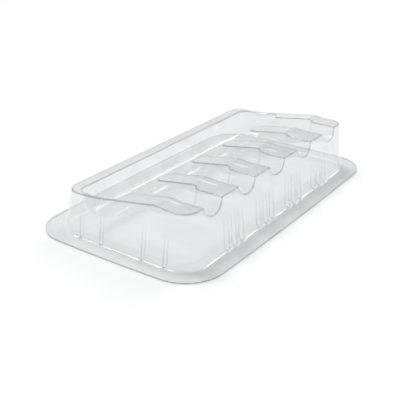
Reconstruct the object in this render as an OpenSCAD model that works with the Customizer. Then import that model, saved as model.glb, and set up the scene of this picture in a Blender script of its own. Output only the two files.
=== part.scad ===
// Humidity dome tray: a clear thermoformed cover that lifts straight off a clear shallow base tray.
// X runs across, with the open pocket mouths on +X. Y runs along the two long walls. +Z is up.
// The origin is on the surface that the tray rests on, at the middle of the footprint.

/* [Footprint] */
// Length over the flange, end to end
flange_l = 380; // [374:1:390]
// Width over the flange, side to side
flange_w = 221; // [217:1:227]
// Corner radius of the flange
flange_r = 40; // [36:1:44]
// How far each flange side bows outwards at its middle
flange_bow = 2.6; // [1:0.1:4]

/* [Cover sheet] */
// Thickness of the cover sheet
cover_t = 0.8; // [0.7:0.1:1]
// Width over the long walls at their foot
foot_w = 177; // [176:1:178]
// Length over the end walls at their foot
foot_l = 342.4; // [341:0.2:344]
// Plan radius of the wall corners at the foot
foot_r = 29; // [26:1:32]
// Plan radius of the wall corners at the top
shoulder_r = 11; // [9:1:14]
// Lean of the front long wall, across for each unit up
front_lean = 0.112; // [0.1:0.002:0.12]
// Lean of the back long wall
back_lean = 0.26; // [0.25:0.002:0.27]
// Lean of the end walls
end_lean = 0.147; // [0.14:0.001:0.155]

/* [Cover top] */
// Height of the low back strip
strip_z = 47.6; // [47:0.1:49]
// Height of the crest that runs the length of the cover
crest_z = 60.6; // [60:0.1:61]
// Height of the front shoulder
shoulder_z = 59; // [58:0.1:59.4]
// Where the top starts to rise, across
rise_x = -40; // [-42:0.5:-38]
// Where the crest is, across
crest_x = 44; // [41:0.5:46]

/* [Channel] */
// Back edge of the channel's opening, across
channel_back_x = -62; // [-63:0.2:-61]
// Length of the channel's opening
channel_l = 318; // [314:1:320]
// Height of the channel's floor
channel_z = 19.5; // [18.5:0.5:20.5]

/* [Pockets] */
// Number of cross pockets
pocket_count = 5; // [3:2:5]
// Distance from one pocket to the next
pocket_pitch = 61.5; // [61:0.1:62]
// Width of a pocket behind its mouth
pocket_w = 30.8; // [30.4:0.2:32]
// Width of a pocket's mouth, which is a little narrower
mouth_w = 30; // [28:0.5:30]
// How much wider a pocket is behind the crest, on its +Y side
pocket_step = 5; // [3:0.5:6]
// Radius along the bottom of a pocket's mouth
mouth_r = 12; // [9:0.5:13]

/* [Flutes] */
// Height that the flutes in the long walls reach
flute_top = 37; // [32:1:40]
// Depth of a flute at the foot of a long wall
flute_depth = 3.4; // [2.5:0.1:3.6]
// Width of a flute in the long walls
side_flute_w = 7.5; // [6:0.1:8]
// Distance between the three flutes of a group
side_flute_pitch = 13.5; // [12.5:0.1:14]
// Height that the flutes in the end walls reach
end_flute_top = 28; // [24:1:32]
// Depth of a flute at the foot of an end wall
end_flute_depth = 2.2; // [1.8:0.1:2.6]
// Width of a flute in the end walls
end_flute_w = 2.6; // [2.2:0.1:3.4]
// Distance between the places for flutes in the end walls
end_flute_pitch = 27; // [25:0.5:28]
// How far the middle of those places is shifted towards the front wall
end_flute_shift = 4; // [2:0.5:6]

/* [Base tray] */
// Thickness of the tray sheet
tray_t = 0.6; // [0.5:0.1:0.8]
// Height of the tray's raised bead above the resting surface
bead_z = 4; // [3:0.1:4.2]
// Width of the bead
bead_w = 5; // [4:0.1:6]
// Gap between the bead and the nearest flute of the cover
bead_gap = 1.2; // [0.8:0.1:2]

/* [Hidden] */
$fn = 48;
above = 75;           // higher than everything
below = 1;            // how far a cut starts below what it cuts
arc_steps = 8;        // steps in each plan corner
side_steps = 10;      // steps along each bowed flange side
plate = 0.1;          // thickness of the thin plates that a hull spans
front_x = foot_w / 2;
end_y = foot_l / 2;
base_z = tray_t;      // the cover's flange lies on the tray
crest_drop = 9;                                 // length of the drop from the crest to the shoulder
channel_slope = 0.128;                          // lean of the channel's back wall
nose_slope = 0.5;                               // lean of the ridge noses and of the channel's front
nose_foot_x = -33;                              // where a nose would reach the resting surface
channel_foot_back_x = channel_back_x + channel_slope * (strip_z - channel_z);
channel_foot_front_x = nose_foot_x + nose_slope * channel_z;
channel_foot_r = 14;                            // plan radius of the channel's corners at its floor
channel_top_r = 8;                              // and high above it
channel_end_slope = 0.11;                       // lean of the channel's end walls
pocket_start_x = channel_foot_front_x - 0.8;    // where a pocket's floor leaves the channel's floor
step_x = 48;                                    // where the wider part of a pocket ends
mouth_x = 40;                                   // where a pocket's floor turns up to its mouth
mouth_z = 35;                                   // height of the floor there
mouth_angle = 14.7;                             // how steeply the mouth's floor rises
flute_start = -2;                               // a flute's cut starts below the flange
flute_over = 8;                                 // and goes on past its top, clear of the wall
bead_x = front_x - flute_depth - cover_t - bead_gap;
bead_y = end_y - flute_depth - cover_t - bead_gap;

function arc_points(cx, cy, r, start) =
    [for (i = [0 : arc_steps]) let (a = start + 90 * i / arc_steps) [cx + r * cos(a), cy + r * sin(a)]];

function line_points(from, to, steps) =
    steps < 2 ? [] : [for (i = [1 : steps - 1]) from + (to - from) * i / steps];

// A rounded rectangle, counter-clockwise, with its straight sides in a number of steps
function rounded_outline(w, l, r, steps = 1) =
    let (x = w / 2 - r, y = l / 2 - r)
    concat(
        arc_points(x, y, r, 0), line_points([x, l / 2], [-x, l / 2], steps),
        arc_points(-x, y, r, 90), line_points([-w / 2, y], [-w / 2, -y], steps),
        arc_points(-x, -y, r, 180), line_points([-x, -l / 2], [x, -l / 2], steps),
        arc_points(x, -y, r, 270), line_points([w / 2, -y], [w / 2, y], steps));

// The same outline with each side pushed out in a shallow curve
function bowed_outline(w, l, r, bow) =
    let (w0 = w - 2 * bow, l0 = l - 2 * bow)
    [for (p = rounded_outline(w0, l0, r, side_steps))
        [p.x * (1 + 2 * bow / w0 * (1 - pow(2 * p.y / l0, 2))),
         p.y * (1 + 2 * bow / l0 * (1 - pow(2 * p.x / w0, 2)))]];

// A thin rounded plate between two places across and along, at a height
module plan_plate(x0, x1, half_l, r, z) {
    translate([(x0 + x1) / 2, 0, z])
        linear_extrude(plate)
            polygon(rounded_outline(x1 - x0, 2 * half_l, r));
}

// The leaning walls, as a solid, drawn in by the inset
module wall_block(inset) {
    rise = above - base_z;
    hull() {
        plan_plate(-front_x + inset, front_x - inset, end_y - inset, foot_r - inset, base_z);
        plan_plate(
            -front_x + back_lean * rise + inset, front_x - front_lean * rise - inset,
            end_y - end_lean * rise - inset, shoulder_r - inset, above);
    }
}

// Everything under the stepped top surface
module under_top() {
    side = 2 * front_x;
    rotate([90, 0, 0])
        linear_extrude(2 * (end_y + below), center = true)
            polygon([
                [-side, -below], [-side, strip_z], [rise_x, strip_z], [crest_x, crest_z],
                [crest_x + crest_drop, shoulder_z], [side, shoulder_z], [side, -below]]);
}

// The long channel beside the back strip
module channel(grow) {
    rise = above - channel_z;
    hull() {
        plan_plate(
            channel_foot_back_x - grow, channel_foot_front_x + grow,
            channel_l / 2 - channel_end_slope * (strip_z - channel_z) + grow,
            channel_foot_r + grow, channel_z);
        plan_plate(
            channel_foot_back_x - channel_slope * rise - grow,
            channel_foot_front_x + nose_slope * rise + grow,
            channel_l / 2 + channel_end_slope * (above - strip_z) + grow,
            channel_top_r + grow, above);
    }
}

// The floor of a pocket from the channel up to its mouth, with everything above it
module pocket_back(grow) {
    translate([0, pocket_step / 2, 0])
        rotate([90, 0, 0])
            linear_extrude(pocket_w + pocket_step + 2 * grow, center = true)
                polygon([
                    [pocket_start_x, channel_z + plate], [-13, 24], [7.5, 36], [14, 36.6], [22, 35.4],
                    [mouth_x, mouth_z],
                    [step_x + grow, mouth_z + (step_x + grow - mouth_x) * tan(mouth_angle)],
                    [step_x + grow, above], [pocket_start_x, above]]);
}

// The trough that opens through the front wall, with a rounded bottom
module pocket_mouth(grow) {
    half_w = mouth_w / 2 + grow;
    r = mouth_r + grow;
    translate([mouth_x, 0, mouth_z])
        rotate([0, -mouth_angle, 0])
            rotate([90, 0, 90])
                linear_extrude(above)
                    polygon(concat(
                        arc_points(r - half_w, mouth_r, r, 180),
                        arc_points(half_w - r, mouth_r, r, 270),
                        [[half_w, above], [-half_w, above]]));
}

module pockets(grow) {
    last = (pocket_count - 1) / 2;
    for (i = [-last : last])
        translate([0, i * pocket_pitch, 0]) {
            pocket_back(grow);
            pocket_mouth(grow);
        }
}

// One upright groove in a wall whose foot runs along Y through the origin, cut in from +X.
// It is deepest at the foot of the wall and runs out at its top.
module flute(w, depth, top, lean, grow) {
    floor_lean = lean - depth / top;
    rotate([0, -atan(floor_lean), 0])
        translate([w / 2 - depth, 0, flute_start])
            linear_extrude(top + flute_over) {
                circle(w / 2 + grow);
                translate([0, -w / 2 - grow])
                    square([w + depth, w + 2 * grow]);
            }
}

module side_flute(lean, grow) {
    flute(side_flute_w, flute_depth, flute_top, lean, grow);
}

module flutes(grow) {
    ridge_last = (pocket_count - 2) / 2;
    for (ridge = [-ridge_last : ridge_last], k = [-1 : 1])
        translate([0, ridge * pocket_pitch + k * side_flute_pitch, base_z]) {
            translate([front_x, 0, 0])
                side_flute(front_lean, grow);
            translate([-front_x, 0, 0])
                mirror([1, 0, 0])
                    side_flute(back_lean, grow);
        }
    for (end = [-1, 1], k = [-2, -1, 1, 2])
        translate([end_flute_shift + k * end_flute_pitch, end * end_y, base_z])
            rotate([0, 0, end * 90])
                flute(end_flute_w, end_flute_depth, end_flute_top, end_lean, grow);
}

// The raised form of the cover: the walls and stepped top less the channel, pockets and flutes
module raised_form(inset) {
    difference() {
        intersection() {
            wall_block(inset);
            under_top();
        }
        channel(inset);
        pockets(inset);
        flutes(inset);
    }
}

module flange(thickness) {
    linear_extrude(thickness)
        polygon(bowed_outline(flange_w, flange_l, flange_r, flange_bow));
}

module dome_cover() {
    color([0.86, 0.91, 0.92, 0.45])
        difference() {
            union() {
                translate([0, 0, base_z])
                    flange(cover_t);
                raised_form(0);
            }
            translate([0, 0, -cover_t])
                raised_form(cover_t);
        }
}

// A hollow bead just inside the foot of the cover keeps the cover from sliding
module base_tray() {
    bead_r = foot_r - (front_x - bead_x);
    color([0.82, 0.88, 0.89, 0.6])
        difference() {
            union() {
                flange(tray_t);
                linear_extrude(bead_z)
                    polygon(rounded_outline(2 * bead_x, 2 * bead_y, bead_r));
            }
            translate([0, 0, tray_t])
                linear_extrude(bead_z)
                    polygon(rounded_outline(2 * (bead_x - bead_w), 2 * (bead_y - bead_w), bead_r - bead_w));
            translate([0, 0, -below])
                linear_extrude(bead_z + below - tray_t)
                    difference() {
                        polygon(rounded_outline(
                            2 * (bead_x - tray_t), 2 * (bead_y - tray_t), bead_r - tray_t));
                        polygon(rounded_outline(
                            2 * (bead_x - bead_w + tray_t), 2 * (bead_y - bead_w + tray_t),
                            bead_r - bead_w + tray_t));
                    }
        }
}

dome_cover();
base_tray();
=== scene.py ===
"""Humidity dome tray: a clear thermoformed cover on a clear shallow base tray, on a white table.

The cover's outer surface is one smooth implicit form, which is meshed and given the thickness of its sheet.
The tray is built from rings. Each takes the place of its CAD piece.
"""
import math

import bpy
import numpy as np
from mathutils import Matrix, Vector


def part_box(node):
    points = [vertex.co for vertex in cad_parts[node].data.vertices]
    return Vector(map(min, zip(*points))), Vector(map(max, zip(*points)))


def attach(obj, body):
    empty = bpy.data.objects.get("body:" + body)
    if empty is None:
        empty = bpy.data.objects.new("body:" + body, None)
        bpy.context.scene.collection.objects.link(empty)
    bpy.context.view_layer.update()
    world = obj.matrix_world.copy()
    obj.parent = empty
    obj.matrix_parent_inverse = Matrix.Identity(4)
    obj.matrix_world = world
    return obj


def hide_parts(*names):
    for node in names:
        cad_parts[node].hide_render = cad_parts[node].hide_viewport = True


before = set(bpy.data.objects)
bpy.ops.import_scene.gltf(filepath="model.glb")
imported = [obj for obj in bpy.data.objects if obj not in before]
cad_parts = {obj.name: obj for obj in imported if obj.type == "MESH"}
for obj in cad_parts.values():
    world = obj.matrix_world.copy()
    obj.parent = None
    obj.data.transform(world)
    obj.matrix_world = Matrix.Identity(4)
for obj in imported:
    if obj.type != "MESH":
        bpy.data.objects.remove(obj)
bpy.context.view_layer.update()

# ---------------------------------------------------------------- sizes, in millimetres
MM = 0.001
cover_low, cover_high = (np.array(corner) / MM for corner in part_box("dome_cover"))
tray_high = np.array(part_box("base_tray")[1]) / MM

# Flange
FLANGE_W = cover_high[0] - cover_low[0]
FLANGE_L = cover_high[1] - cover_low[1]
FLANGE_R = 40.0
FLANGE_BOW = 2.6
BASE_Z = cover_low[2]
SHEET = 0.8
FLANGE_TOP = BASE_Z + SHEET
CREST_Z = cover_high[2]

# Walls: half sizes and corner radius at the foot, the radius further up, and the leans
FOOT_X, FOOT_Y, FOOT_R = 88.5, 171.2, 29.0
SHOULDER_R, SHOULDER_RISE = 11.0, 75.0
FRONT_LEAN, BACK_LEAN, END_LEAN = 0.112, 0.26, 0.147
WALL_BLEND, FOOT_BLEND = 1.4, 2.4

# Top: low strip, rise to the crest, drop to the front shoulder. The drop's line starts a little above the
# crest, so the crest stays level up to it.
STRIP_Z, SHOULDER_Z = 47.6, 59.0
RISE_X, CREST_X, DROP_X = -40.0, 44.0, 53.0
CREST_OVER = 0.4
RISE_BLEND, DROP_BLEND = 3.0, 1.5

# Channel. Its front is at CHANNEL_FRONT_X at the height NOSE_Z, and its foot is rounder towards its ends.
CHANNEL_BACK_X, CHANNEL_FRONT_X, CHANNEL_HALF_L = -62.0, -7.5, 159.0
CHANNEL_Z, NOSE_Z = 19.5, 51.0
CHANNEL_SLOPE, NOSE_SLOPE, CHANNEL_END_SLOPE = 0.128, 0.5, 0.11
CHANNEL_FOOT_R, CHANNEL_TOP_R = 14.0, 8.0
CHANNEL_BLEND, CHANNEL_END_BLEND = 2.5, 12.0
CHANNEL_END_FROM, CHANNEL_END_TO = CHANNEL_HALF_L - 45.0, CHANNEL_HALF_L - 5.0

# Pockets: spacing, half widths, and the step behind the crest, which widens them on their +Y side
PITCH, POCKETS = 61.5, 5
POCKET_HALF_W, MOUTH_HALF_W, POCKET_STEP = 15.4, 15.0, 5.0
STEP_X, STEP_LENGTH = 50.5, 5.0
MOUTH_FROM, MOUTH_TO = 20.0, 62.0
POCKET_LEAN, POCKET_LEAN_Z = 0.05, 50.0
POCKET_BACK_X, POCKET_BACK_BLEND = -30.0, 4.0
POCKET_BLEND, MOUTH_BLEND = 6.0, 16.0
FLOOR_STEEPNESS = 0.95
FLOOR_BLEND, FLOOR_SAMPLES = 5.0, 5
# The pocket's floor from the channel to beyond the mouth, as X and Z
POCKET_FLOOR = (
    (-60.0, 19.5), (-23.0, 19.6), (-13.0, 24.0), (6.0, 35.6), (14.0, 36.6), (24.0, 35.0), (40.0, 35.2),
    (70.0, 42.9), (130.0, 58.5))

# Bends between the channel, the pockets and the top. The ridge noses are the roundest.
HOLLOW_BLEND, RIDGE_BLEND, NOSE_BLEND = 9.0, 1.2, 3.0
NOSE_FRONT_FROM, NOSE_FRONT_TO = -5.0, -30.0
NOSE_BACK_FROM, NOSE_BACK_TO = -45.0, -38.0

# Flutes
FLUTE_TOP, FLUTE_DEPTH = 37.0, 3.4
END_FLUTE_TOP, END_FLUTE_DEPTH = 28.0, 2.2
SIDE_FLUTE_W, SIDE_FLUTE_PITCH = 7.5, 13.5
END_FLUTE_W, END_FLUTE_PITCH, END_FLUTE_SHIFT = 2.6, 27.0, 4.0
FLUTE_BLEND, END_FLUTE_BLEND, FLUTE_EDGE_BLEND = 4.0, 1.6, 1.2
FLUTE_FOOT_BLEND, FLUTE_FOOT_REACH = 4.0, 1.5

# Tray
TRAY_T = BASE_Z - 0.1
BEAD_Z, BEAD_W, BEAD_GAP = tray_high[2], 5.0, 1.2
BEAD_X = FOOT_X - FLUTE_DEPTH - SHEET - BEAD_GAP
BEAD_Y = FOOT_Y - FLUTE_DEPTH - SHEET - BEAD_GAP
BEAD_R = FOOT_R - (FOOT_X - BEAD_X)
BEAD_ROUND, BEAD_ROUND_STEPS = 1.2, 4
BEAD_FLOOR_LAP = 2.0
TRAY_FLANGE_RINGS = (0.3, 0.65, 1.0)

# Meshing
NET_STEP = 1.0
SURFACE_PASSES, BORDER_PASSES = 3, 4
BORDER_MARGIN, BORDER_REACH = 0.35, 0.02

# Painted shade: the cover's sheet is painted darker at its tight bends, for the dark lines that light gives
# there
BEND_SHADE_NAME = "bend_shade"
BEND_REACH, BEND_GAIN, BEND_THRESHOLD = 0.8, 0.8, 0.05
UPRIGHT_BEND = 0.4
UPRIGHT_TO, LEVEL_FROM = 0.35, 0.6


# ---------------------------------------------------------------- shape of the cover
def smooth_min(a, b, k):
    h = np.maximum(k - np.abs(a - b), 0.0) / k
    return np.minimum(a, b) - h * h * k * 0.25


def smooth_max(a, b, k):
    return -smooth_min(-a, -b, k)


def smooth_step(low, high, x):
    t = np.clip((x - low) / (high - low), 0.0, 1.0)
    return t * t * (3.0 - 2.0 * t)


def rounded_rectangle(x, y, half_x, half_y, r):
    """Signed distance to a rounded rectangle in plan."""
    qx = np.abs(x) - half_x + r
    qy = np.abs(y) - half_y + r
    outside = np.hypot(np.maximum(qx, 0.0), np.maximum(qy, 0.0))
    return outside + np.minimum(np.maximum(qx, qy), 0.0) - r


def walls_field(x, y, z):
    """Negative inside the four leaning walls."""
    up = z - BASE_Z
    front = FOOT_X - FRONT_LEAN * up
    back = -FOOT_X + BACK_LEAN * up
    r = FOOT_R + (SHOULDER_R - FOOT_R) * np.clip(up / SHOULDER_RISE, 0.0, 1.0)
    return rounded_rectangle(x - (front + back) / 2, y, (front - back) / 2, FOOT_Y - END_LEAN * up, r)


def top_height(x):
    """Height of the stepped top: low strip, rise, crest, and the slightly lower front shoulder."""
    rise = STRIP_Z + (CREST_Z - STRIP_Z) * (x - RISE_X) / (CREST_X - RISE_X)
    over = CREST_Z + CREST_OVER
    fall = over - (over - SHOULDER_Z) * (x - CREST_X) / (DROP_X - CREST_X)
    height = smooth_max(rise, np.full_like(x, STRIP_Z), RISE_BLEND)
    shoulder = smooth_max(fall, np.full_like(x, SHOULDER_Z), DROP_BLEND)
    height = smooth_min(height, shoulder, DROP_BLEND)
    return np.minimum(height, CREST_Z)


def channel_field(x, y, z):
    """Negative inside the long channel beside the back strip."""
    up = z - STRIP_Z
    back = CHANNEL_BACK_X - CHANNEL_SLOPE * up
    front = CHANNEL_FRONT_X + NOSE_SLOPE * (z - NOSE_Z)
    r = CHANNEL_FOOT_R + (CHANNEL_TOP_R - CHANNEL_FOOT_R) * np.clip(
        (z - CHANNEL_Z) / (SHOULDER_RISE - CHANNEL_Z), 0.0, 1.0)
    plan = rounded_rectangle(
        x - (front + back) / 2, y, (front - back) / 2, CHANNEL_HALF_L + CHANNEL_END_SLOPE * up, r)
    end = smooth_step(CHANNEL_END_FROM, CHANNEL_END_TO, np.abs(y))
    return smooth_max(plan, CHANNEL_Z - z, CHANNEL_BLEND + CHANNEL_END_BLEND * end)


def pocket_floor(x):
    """Height of the pocket floor, averaged over a short run so that its bends are round."""
    xs, zs = zip(*POCKET_FLOOR)
    near = [np.interp(x + d, xs, zs) for d in np.linspace(-FLOOR_BLEND, FLOOR_BLEND, FLOOR_SAMPLES)]
    return sum(near) / len(near)


def pockets_field(x, y, z):
    """Negative inside the cross pockets, which open into the channel and through the front wall."""
    last = (POCKETS - 1) // 2
    across = y - PITCH * np.clip(np.round(y / PITCH), -last, last)
    mouth = smooth_step(MOUTH_FROM, MOUTH_TO, x)
    half_w = POCKET_HALF_W + (MOUTH_HALF_W - POCKET_HALF_W) * mouth + POCKET_LEAN * (z - POCKET_LEAN_Z)
    step = POCKET_STEP * (1.0 - smooth_step(STEP_X - STEP_LENGTH, STEP_X, x))
    sides = np.maximum(-across - half_w, across - half_w - step)
    floor = (pocket_floor(x) - z) * FLOOR_STEEPNESS
    rounded = smooth_max(sides, floor, MOUTH_BLEND)
    square = smooth_max(sides, floor, POCKET_BLEND)
    inside = square + (rounded - square) * mouth
    return smooth_max(inside, POCKET_BACK_X - x, POCKET_BACK_BLEND)


def flute_side(x, wall_x, lean, up, depth=FLUTE_DEPTH, top=FLUTE_TOP):
    """Negative on the outside of a flute's floor, for a wall that faces +X."""
    return (wall_x - lean * up - depth * (1.0 - up / top)) - x


def flutes_field(x, y, z):
    """Negative inside the upright grooves in the walls."""
    up = z - BASE_Z
    last = (POCKETS - 2) / 2
    ridge = np.clip(np.round(y / PITCH - 0.5) + 0.5, -last, last)
    along = y - ridge * PITCH
    along = np.abs(along - SIDE_FLUTE_PITCH * np.clip(np.round(along / SIDE_FLUTE_PITCH), -1, 1))
    side = along - SIDE_FLUTE_W / 2
    front = smooth_max(side, flute_side(x, FOOT_X, FRONT_LEAN, up), FLUTE_BLEND)
    back = smooth_max(side, flute_side(-x, FOOT_X, BACK_LEAN, up), FLUTE_BLEND)
    slot = (x - END_FLUTE_SHIFT) / END_FLUTE_PITCH
    place = np.sign(slot) * np.clip(np.round(np.abs(slot)), 1, 2)
    across = np.abs(x - END_FLUTE_SHIFT - place * END_FLUTE_PITCH)
    end = flute_side(np.abs(y), FOOT_Y, END_LEAN, up, END_FLUTE_DEPTH, END_FLUTE_TOP)
    ends = smooth_max(across - END_FLUTE_W / 2, end, END_FLUTE_BLEND)
    return np.minimum(np.minimum(front, back), ends)


def cover_field(p):
    """Negative under the cover's outer surface. p holds points, one to a row."""
    x, y, z = p[:, 0], p[:, 1], p[:, 2]
    form = smooth_max(walls_field(x, y, z), z - top_height(x), WALL_BLEND)
    hollow = smooth_min(channel_field(x, y, z), pockets_field(x, y, z), HOLLOW_BLEND)
    nose = smooth_step(NOSE_FRONT_FROM, NOSE_FRONT_TO, x) * smooth_step(NOSE_BACK_FROM, NOSE_BACK_TO, x)
    form = smooth_max(form, -hollow, RIDGE_BLEND + NOSE_BLEND * nose)
    flutes = flutes_field(x, y, z)
    form = smooth_max(form, -flutes, FLUTE_EDGE_BLEND)
    foot = FOOT_BLEND + FLUTE_FOOT_BLEND * smooth_step(FLUTE_FOOT_REACH, -FLUTE_FOOT_REACH, flutes)
    return smooth_min(form, z - FLANGE_TOP, foot)


def field_gradient(field, p, reach=0.04):
    """Slope of a field at points, from central differences."""
    slopes = []
    for axis in range(3):
        shift = np.zeros(3)
        shift[axis] = reach
        slopes.append((field(p + shift) - field(p - shift)) / (2 * reach))
    return np.stack(slopes, axis=1)


def painted_bend_shade_share(field, p, normals):
    """Share of painted shade: 1 on the sheet's tight outward bends that face up, less on those that face
    sideways, 0 elsewhere.
    """
    bend_shade = -6.0 * field(p)
    for axis in range(3):
        shift = np.zeros(3)
        shift[axis] = BEND_REACH
        bend_shade += field(p + shift) + field(p - shift)
    level = UPRIGHT_BEND + (1.0 - UPRIGHT_BEND) * smooth_step(UPRIGHT_TO, LEVEL_FROM, normals[:, 2])
    return level * np.clip(bend_shade / BEND_REACH ** 2 * BEND_GAIN - BEND_THRESHOLD, 0.0, 1.0)


def near_values(field, grid, step, skip=4, reach=1.6):
    """The field at every grid point near its surface, and a coarser sample of it further away."""
    coarse = grid[::skip, ::skip, ::skip]
    value = field(coarse.reshape(-1, 3)).reshape(coarse.shape[:3])
    for axis in range(3):
        value = np.repeat(value, skip, axis=axis)
    value = value[:grid.shape[0], :grid.shape[1], :grid.shape[2]]
    near = np.abs(value) < skip * step * reach
    value[near] = field(grid[near])
    return value


def surface_net(field, low, high, step):
    """Points and quads of the surface where the field is zero."""
    axes = [np.arange(a, b + step, step) for a, b in zip(low, high)]
    size = tuple(len(a) for a in axes)
    grid = np.stack(np.meshgrid(*axes, indexing="ij"), axis=-1)
    value = near_values(field, grid, step)
    inside = value < 0
    cells = tuple(n - 1 for n in size)
    total = np.zeros(cells + (3,))
    count = np.zeros(cells)
    for axis in range(3):
        others = [a for a in range(3) if a != axis]
        for i in (0, 1):
            for j in (0, 1):
                offset = [0, 0, 0]
                offset[others[0]], offset[others[1]] = i, j
                a = tuple(slice(o, o + n) for o, n in zip(offset, cells))
                offset[axis] = 1
                b = tuple(slice(o, o + n) for o, n in zip(offset, cells))
                crossed = inside[a] != inside[b]
                gap = np.where(crossed, value[a] - value[b], 1.0)
                t = np.where(crossed, value[a] / gap, 0.0)[..., None]
                total += np.where(crossed[..., None], grid[a] * (1 - t) + grid[b] * t, 0.0)
                count += crossed
    used = count > 0
    number = np.full(cells, -1)
    number[used] = np.arange(used.sum())
    points = total[used] / count[used][:, None]
    quads = []
    for axis in range(3):
        b_axis, c_axis = (axis + 1) % 3, (axis + 2) % 3
        core = [slice(1, n - 1) for n in size]
        core[axis] = slice(0, size[axis] - 1)
        ahead = list(core)
        ahead[axis] = slice(1, size[axis])
        start, end = inside[tuple(core)], inside[tuple(ahead)]
        places = np.argwhere(start != end)
        places[:, b_axis] += 1
        places[:, c_axis] += 1
        outward = start[start != end]
        ring = []
        for b, c in ((-1, -1), (0, -1), (0, 0), (-1, 0)):
            cell = places.copy()
            cell[:, b_axis] += b
            cell[:, c_axis] += c
            ring.append(number[cell[:, 0], cell[:, 1], cell[:, 2]])
        ring = np.stack(ring, axis=1)
        ring[~outward] = ring[~outward][:, ::-1]
        quads.append(ring)
    return points, np.concatenate(quads)


def flange_edge(x, y):
    """Signed distance to the flange's bowed outline."""
    half_x = FLANGE_W / 2 - FLANGE_BOW * (y / (FLANGE_L / 2)) ** 2
    half_y = FLANGE_L / 2 - FLANGE_BOW * (x / (FLANGE_W / 2)) ** 2
    return rounded_rectangle(x, y, half_x, half_y, FLANGE_R)


def flange_field(p):
    return flange_edge(p[:, 0], p[:, 1])


def border_edges(quads):
    """The edges that only one quad uses, in that quad's order."""
    edges = np.concatenate([np.stack([quads[:, i], quads[:, (i + 1) % 4]], axis=1) for i in range(4)])
    key = np.sort(edges, axis=1)
    code = key[:, 0].astype(np.int64) * (key.max() + 1) + key[:, 1]
    _, first, times = np.unique(code, return_index=True, return_counts=True)
    return edges[first[times == 1]]


def cover_surface():
    """The cover's outer surface: points, normals and quads, with its border on the flange's outline."""
    pad = 2 * NET_STEP
    low = (cover_low[0] - pad, cover_low[1] - pad, FLANGE_TOP - pad)
    high = (cover_high[0] + pad, cover_high[1] + pad, CREST_Z + pad)
    points, quads = surface_net(cover_field, low, high, NET_STEP)
    for _ in range(SURFACE_PASSES):
        slope = field_gradient(cover_field, points)
        points -= slope * (cover_field(points) / np.maximum((slope ** 2).sum(axis=1), 1e-6))[:, None]
    within = flange_edge(points[:, 0], points[:, 1]) < -BORDER_MARGIN * NET_STEP
    quads = quads[within[quads].all(axis=1)]
    border = np.unique(border_edges(quads))
    for _ in range(BORDER_PASSES):
        slope = field_gradient(flange_field, points[border], BORDER_REACH)
        points[border] -= slope * flange_field(points[border])[:, None]
    used = np.unique(quads)
    renumber = np.full(len(points), -1)
    renumber[used] = np.arange(len(used))
    points, quads = points[used], renumber[quads]
    normals = field_gradient(cover_field, points)
    normals /= np.linalg.norm(normals, axis=1)[:, None]
    return points, normals, quads


def make_piece(name, points, faces, slots, smooth, materials, normals=None):
    """A visible piece from points in millimetres, with a material slot and a smooth flag for each face."""
    mesh = bpy.data.meshes.new(name)
    mesh.from_pydata((points * MM).tolist(), [], faces)
    mesh.polygons.foreach_set("material_index", slots)
    mesh.polygons.foreach_set("use_smooth", smooth)
    if normals is not None:
        mesh.normals_split_custom_set(normals.reshape(-1, 3).tolist())
    mesh.update()
    for material in materials:
        mesh.materials.append(material)
    piece = bpy.data.objects.new(name, mesh)
    bpy.context.scene.collection.objects.link(piece)
    return piece


def make_cover(sheet, edge):
    """The cover as a closed sheet: its outer face, its inner face and the cut edge between them."""
    outer, normals, quads = cover_surface()
    count = len(outer)
    inner = outer - normals * SHEET
    border = border_edges(quads)
    rim = np.stack([border[:, 1], border[:, 0], border[:, 0] + count, border[:, 1] + count], axis=1)
    points = np.concatenate([outer, inner])
    faces = np.concatenate([quads, quads[:, ::-1] + count, rim])
    slots = np.concatenate([np.zeros(2 * len(quads), dtype=int), np.ones(len(rim), dtype=int)])
    across = outer[border[:, 1]] - outer[border[:, 0]]
    outward = np.stack([across[:, 1], -across[:, 0], np.zeros(len(across))], axis=1)
    outward /= np.maximum(np.linalg.norm(outward, axis=1), 1e-9)[:, None]
    corner_normals = np.concatenate([
        normals[quads], -normals[quads[:, ::-1]], np.repeat(outward[:, None, :], 4, axis=1)])
    smooth = np.ones(len(faces), dtype=bool)
    piece = make_piece("clear_cover", points, faces.tolist(), slots, smooth, (sheet, edge), corner_normals)
    # Painted shade share at each point, carried to the material as an attribute
    bend_shade = piece.data.attributes.new(BEND_SHADE_NAME, "FLOAT", "POINT")
    bend_shade.data.foreach_set("value", np.tile(painted_bend_shade_share(cover_field, outer, normals), 2))
    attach(piece, "cover")
    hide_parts("dome_cover")


# ---------------------------------------------------------------- shape of the tray
def ring_points(half_x, half_y, r, bow, z, corner_steps=16, side_steps=24):
    """One closed ring of a rounded rectangle with bowed sides."""
    half_x, half_y = half_x - bow, half_y - bow
    ring = []
    corners = ((1, 1, 0), (-1, 1, 90), (-1, -1, 180), (1, -1, 270))
    for sx, sy, start in corners:
        cx, cy = sx * (half_x - r), sy * (half_y - r)
        for i in range(corner_steps + 1):
            a = math.radians(start + 90 * i / corner_steps)
            ring.append((cx + r * math.cos(a), cy + r * math.sin(a)))
        end = ring[-1]
        turn = math.radians(start + 90)
        nx, ny = corners[(corners.index((sx, sy, start)) + 1) % 4][:2]
        target = (nx * (half_x - r) + r * math.cos(turn), ny * (half_y - r) + r * math.sin(turn))
        for i in range(1, side_steps):
            t = i / side_steps
            ring.append((end[0] + (target[0] - end[0]) * t, end[1] + (target[1] - end[1]) * t))
    ring = np.array(ring)
    grow_x = 1 + bow / half_x * (1 - (ring[:, 1] / half_y) ** 2)
    grow_y = 1 + bow / half_y * (1 - (ring[:, 0] / half_x) ** 2)
    flat = np.stack([ring[:, 0] * grow_x, ring[:, 1] * grow_y], axis=1)
    return np.column_stack([flat, np.full(len(flat), z)])


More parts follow.
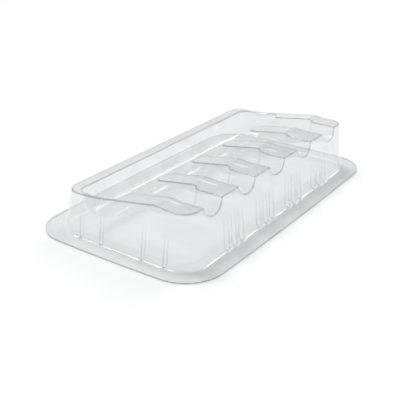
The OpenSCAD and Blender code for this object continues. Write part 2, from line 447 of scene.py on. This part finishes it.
def bead_profile():
    """Steps over the bead, from the tray's floor to its flange: inset from the bead's outside, and height."""
    foot_z, top_z = TRAY_T + BEAD_ROUND, BEAD_Z - BEAD_ROUND
    turns = (
        (BEAD_W + BEAD_ROUND, foot_z, 270.0, 180.0),
        (BEAD_W - BEAD_ROUND, top_z, 0.0, 90.0),
        (BEAD_ROUND, top_z, 90.0, 180.0),
        (-BEAD_ROUND, foot_z, 0.0, -90.0))
    steps = [(BEAD_W + BEAD_FLOOR_LAP, TRAY_T)]
    for inset, z, first, last in turns:
        for a in np.radians(np.linspace(first, last, BEAD_ROUND_STEPS + 1)):
            steps.append((inset + BEAD_ROUND * math.cos(a), z + BEAD_ROUND * math.sin(a)))
    return steps


def make_tray(sheet, edge):
    """The tray as a closed sheet of rings, from its floor over the bead to its edge and back below."""
    steps = bead_profile()
    slopes = []
    for i in range(len(steps)):
        a, b = steps[max(i - 1, 0)], steps[min(i + 1, len(steps) - 1)]
        run, climb = -(b[0] - a[0]), b[1] - a[1]
        length = math.hypot(run, climb)
        slopes.append((-climb / length, run / length))
    tops, unders = [], []
    for (inset, z), (nx, nz) in zip(steps, slopes):
        under = (inset + nx * TRAY_T, max(z - nz * TRAY_T, 0.0))
        for rings, (d, h) in ((tops, (inset, z)), (unders, under)):
            rings.append(ring_points(BEAD_X - d, BEAD_Y - d, BEAD_R - d, 0.0, h))
    for fraction in TRAY_FLANGE_RINGS:
        half_x = BEAD_X + (FLANGE_W / 2 - BEAD_X) * fraction
        half_y = BEAD_Y + (FLANGE_L / 2 - BEAD_Y) * fraction
        r = BEAD_R + (FLANGE_R - BEAD_R) * fraction
        tops.append(ring_points(half_x, half_y, r, FLANGE_BOW * fraction, TRAY_T))
        unders.append(ring_points(half_x, half_y, r, FLANGE_BOW * fraction, 0.0))
    n = len(tops[0])
    rings = tops + unders[::-1]
    points = np.concatenate(rings)
    faces, slots = [], []
    for k in range(len(rings) - 1):
        for i in range(n):
            j = (i + 1) % n
            faces.append((k * n + i, k * n + j, (k + 1) * n + j, (k + 1) * n + i)[::-1])
            slots.append(1 if k == len(tops) - 1 else 0)
    smooth = [True] * len(faces) + [False, False]
    faces.append(tuple(range(n)))
    faces.append(tuple(range((len(rings) - 1) * n, len(rings) * n))[::-1])
    slots += [0, 0]
    piece = make_piece("clear_tray", points, faces, slots, smooth, (sheet, edge))
    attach(piece, "tray")
    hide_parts("base_tray")


# ---------------------------------------------------------------- materials
RIPPLE_SCALE, RIPPLE_DETAIL, RIPPLE_DEPTH = 55.0, 2.0, 0.002
RIPPLE_STRETCH = (1.0, 1.0, 0.35)
MIRROR_FACE_ON, MIRROR_POWER, MIRROR_ROUGHNESS = 0.05, 5.0, 0.06
MIRROR_COLOUR = (0.96, 0.97, 0.97)
HAZE_COLOUR = (0.93, 0.935, 0.94)
EDGE_COLOUR, EDGE_SHARE, EDGE_ROUGHNESS = (0.16, 0.18, 0.18), 0.6, 0.35
TABLE_COLOUR = (0.92, 0.92, 0.92)


def new_material(name):
    material = bpy.data.materials.new(name)
    material.use_nodes = True
    tree = material.node_tree
    tree.nodes.clear()
    output = tree.nodes.new("ShaderNodeOutputMaterial")
    return material, tree, output


def node(tree, kind, **values):
    made = tree.nodes.new(kind)
    for key, value in values.items():
        setattr(made, key, value)
    return made


def sheet_gloss(tree, ripple, gloss):
    """Mirror share of a clear sheet, from grazing angle, with the faint ripple of a drawn sheet."""
    place = node(tree, "ShaderNodeTexCoord")
    stretch = node(tree, "ShaderNodeMapping")
    stretch.inputs["Scale"].default_value = RIPPLE_STRETCH
    wave = node(tree, "ShaderNodeTexNoise")
    wave.inputs["Scale"].default_value = RIPPLE_SCALE
    wave.inputs["Detail"].default_value = RIPPLE_DETAIL
    bump = node(tree, "ShaderNodeBump")
    bump.inputs["Strength"].default_value = ripple
    bump.inputs["Distance"].default_value = RIPPLE_DEPTH
    tree.links.new(place.outputs["Object"], stretch.inputs["Vector"])
    tree.links.new(stretch.outputs["Vector"], wave.inputs["Vector"])
    tree.links.new(wave.outputs["Fac"], bump.inputs["Height"])
    facing = node(tree, "ShaderNodeLayerWeight")
    facing.inputs["Blend"].default_value = 0.5
    power = node(tree, "ShaderNodeMath", operation="POWER")
    power.inputs[1].default_value = MIRROR_POWER
    scale = node(tree, "ShaderNodeMath", operation="MULTIPLY_ADD")
    scale.inputs[1].default_value = (1.0 - MIRROR_FACE_ON) * gloss
    scale.inputs[2].default_value = MIRROR_FACE_ON * gloss
    tree.links.new(facing.outputs["Facing"], power.inputs[0])
    tree.links.new(power.outputs[0], scale.inputs[0])
    return scale.outputs[0], bump.outputs["Normal"]


def clear_sheet(name, ripple, gloss, tint, haze, bend_shade_tint):
    """A clear sheet: mirror at a glance, a slight haze, and painted shade that tints the light passed at
    tight bends darker.
    """
    material, tree, output = new_material(name)
    share, normal = sheet_gloss(tree, ripple, gloss)
    # Painted shade: the share mixes the clear tint towards the dark bend tint
    bend_shade = node(tree, "ShaderNodeAttribute", attribute_name=BEND_SHADE_NAME)
    colour = node(tree, "ShaderNodeMix", data_type="RGBA")
    colour.inputs["A"].default_value = (*tint, 1.0)
    colour.inputs["B"].default_value = (*bend_shade_tint, 1.0)
    clear = node(tree, "ShaderNodeBsdfTransparent")
    front = node(tree, "ShaderNodeBsdfDiffuse")
    front.inputs["Color"].default_value = (*HAZE_COLOUR, 1.0)
    through = node(tree, "ShaderNodeBsdfTranslucent")
    through.inputs["Color"].default_value = (*HAZE_COLOUR, 1.0)
    body = node(tree, "ShaderNodeMixShader")
    mirror = node(tree, "ShaderNodeBsdfPrincipled")
    mirror.inputs["Base Color"].default_value = (*MIRROR_COLOUR, 1.0)
    mirror.inputs["Metallic"].default_value = 1.0
    mirror.inputs["Roughness"].default_value = MIRROR_ROUGHNESS
    cloudy = node(tree, "ShaderNodeMixShader")
    cloudy.inputs["Fac"].default_value = haze
    mix = node(tree, "ShaderNodeMixShader")
    tree.links.new(bend_shade.outputs["Fac"], colour.inputs["Factor"])
    tree.links.new(colour.outputs["Result"], clear.inputs["Color"])
    tree.links.new(front.outputs[0], body.inputs[1])
    tree.links.new(through.outputs[0], body.inputs[2])
    tree.links.new(clear.outputs[0], cloudy.inputs[1])
    tree.links.new(body.outputs[0], cloudy.inputs[2])
    tree.links.new(normal, mirror.inputs["Normal"])
    tree.links.new(share, mix.inputs["Fac"])
    tree.links.new(cloudy.outputs[0], mix.inputs[1])
    tree.links.new(mirror.outputs[0], mix.inputs[2])
    tree.links.new(mix.outputs[0], output.inputs["Surface"])
    return material


def cut_edge(name):
    """The cut edge of the sheet, which traps light and looks darker."""
    material, tree, output = new_material(name)
    clear = node(tree, "ShaderNodeBsdfTransparent")
    body = node(tree, "ShaderNodeBsdfPrincipled")
    body.inputs["Base Color"].default_value = (*EDGE_COLOUR, 1.0)
    body.inputs["Roughness"].default_value = EDGE_ROUGHNESS
    mix = node(tree, "ShaderNodeMixShader")
    mix.inputs["Fac"].default_value = EDGE_SHARE
    tree.links.new(clear.outputs[0], mix.inputs[1])
    tree.links.new(body.outputs[0], mix.inputs[2])
    tree.links.new(mix.outputs[0], output.inputs["Surface"])
    return material


# ---------------------------------------------------------------- camera, table and light
CAMERA_PLACE = (0.4448, -0.6611, 0.3659)
CAMERA_DOWN, CAMERA_TURN = 25.135, 35.13
CAMERA_LENS, CAMERA_SENSOR = 67.55, 36.0
TABLE_HALF, TABLE_DROP = 12.0, 0.0002
SKY_COLOUR = (0.98, 0.99, 1.0)
# The sky is bright at the horizon and darker above: the height where it starts to fade and where it ends, and
# its strength at each
SKY_FADE = {"From Min": 0.12, "From Max": 0.44, "To Min": 0.84, "To Max": 0.215}
CLEAR_LAYERS = 32


def make_camera():
    data = bpy.data.cameras.new("camera")
    data.lens = CAMERA_LENS
    data.sensor_width = CAMERA_SENSOR
    camera = bpy.data.objects.new("camera", data)
    camera.location = CAMERA_PLACE
    camera.rotation_euler = (math.radians(90 - CAMERA_DOWN), 0.0, math.radians(CAMERA_TURN))
    bpy.context.scene.collection.objects.link(camera)
    bpy.context.scene.camera = camera


def make_table():
    corners = [(x * TABLE_HALF, y * TABLE_HALF, 0) for x, y in ((-1, -1), (1, -1), (1, 1), (-1, 1))]
    mesh = bpy.data.meshes.new("table")
    mesh.from_pydata(corners, [], [(0, 1, 2, 3)])
    table = bpy.data.objects.new("table", mesh)
    table.location.z = -TABLE_DROP
    bpy.context.scene.collection.objects.link(table)
    material, tree, output = new_material("table_white")
    body = node(tree, "ShaderNodeBsdfDiffuse")
    body.inputs["Color"].default_value = (*TABLE_COLOUR, 1.0)
    tree.links.new(body.outputs[0], output.inputs["Surface"])
    mesh.materials.append(material)


def make_sun(name, towards, strength, spread):
    """A soft sun lamp that shines from a direction. The spread is in degrees."""
    data = bpy.data.lights.new(name, "SUN")
    data.energy = strength
    data.angle = math.radians(spread)
    lamp = bpy.data.objects.new(name, data)
    x, y, z = towards
    lamp.rotation_euler = (math.atan2(math.hypot(x, y), z), 0.0, math.atan2(y, x) + math.pi / 2)
    bpy.context.scene.collection.objects.link(lamp)


def make_light():
    make_sun("overhead", towards=(-0.15, -0.1, 1.0), strength=0.20, spread=110.0)
    make_sun("key", towards=(-0.43, 0.1, 0.78), strength=2.05, spread=26.0)
    make_sun("rim", towards=(0.02, 0.75, 0.65), strength=0.80, spread=24.0)
    make_sun("top", towards=(0.05, 0.2, 0.97), strength=0.12, spread=14.0)
    world = bpy.data.worlds.new("studio")
    world.use_nodes = True
    tree = world.node_tree
    background = tree.nodes["Background"]
    background.inputs["Color"].default_value = (*SKY_COLOUR, 1.0)
    place = node(tree, "ShaderNodeTexCoord")
    parts = node(tree, "ShaderNodeSeparateXYZ")
    fade = node(tree, "ShaderNodeMapRange", interpolation_type="SMOOTHSTEP")
    for name, value in SKY_FADE.items():
        fade.inputs[name].default_value = value
    tree.links.new(place.outputs["Generated"], parts.inputs["Vector"])
    tree.links.new(parts.outputs["Z"], fade.inputs["Value"])
    tree.links.new(fade.outputs["Result"], background.inputs["Strength"])
    bpy.context.scene.world = world
    bpy.context.scene.view_settings.view_transform = "Standard"
    bpy.context.scene.cycles.transparent_max_bounces = CLEAR_LAYERS


# ---------------------------------------------------------------- the scene
make_camera()
make_table()
make_light()
cover_edge = cut_edge("cover_cut_edge")
tray_edge = cut_edge("tray_cut_edge")
# The cover's dark bend tint is painted shade at its tight bends
cover_sheet = clear_sheet(
    "cover_clear_sheet", ripple=0.02, gloss=0.9, tint=(0.985, 0.986, 0.987), haze=0.12,
    bend_shade_tint=(0.22, 0.24, 0.25))
tray_sheet = clear_sheet(
    "tray_clear_sheet", ripple=0.03, gloss=0.06, tint=(0.995, 0.995, 0.995), haze=0.0,
    bend_shade_tint=(0.9, 0.9, 0.9))
make_cover(cover_sheet, cover_edge)
make_tray(tray_sheet, tray_edge)
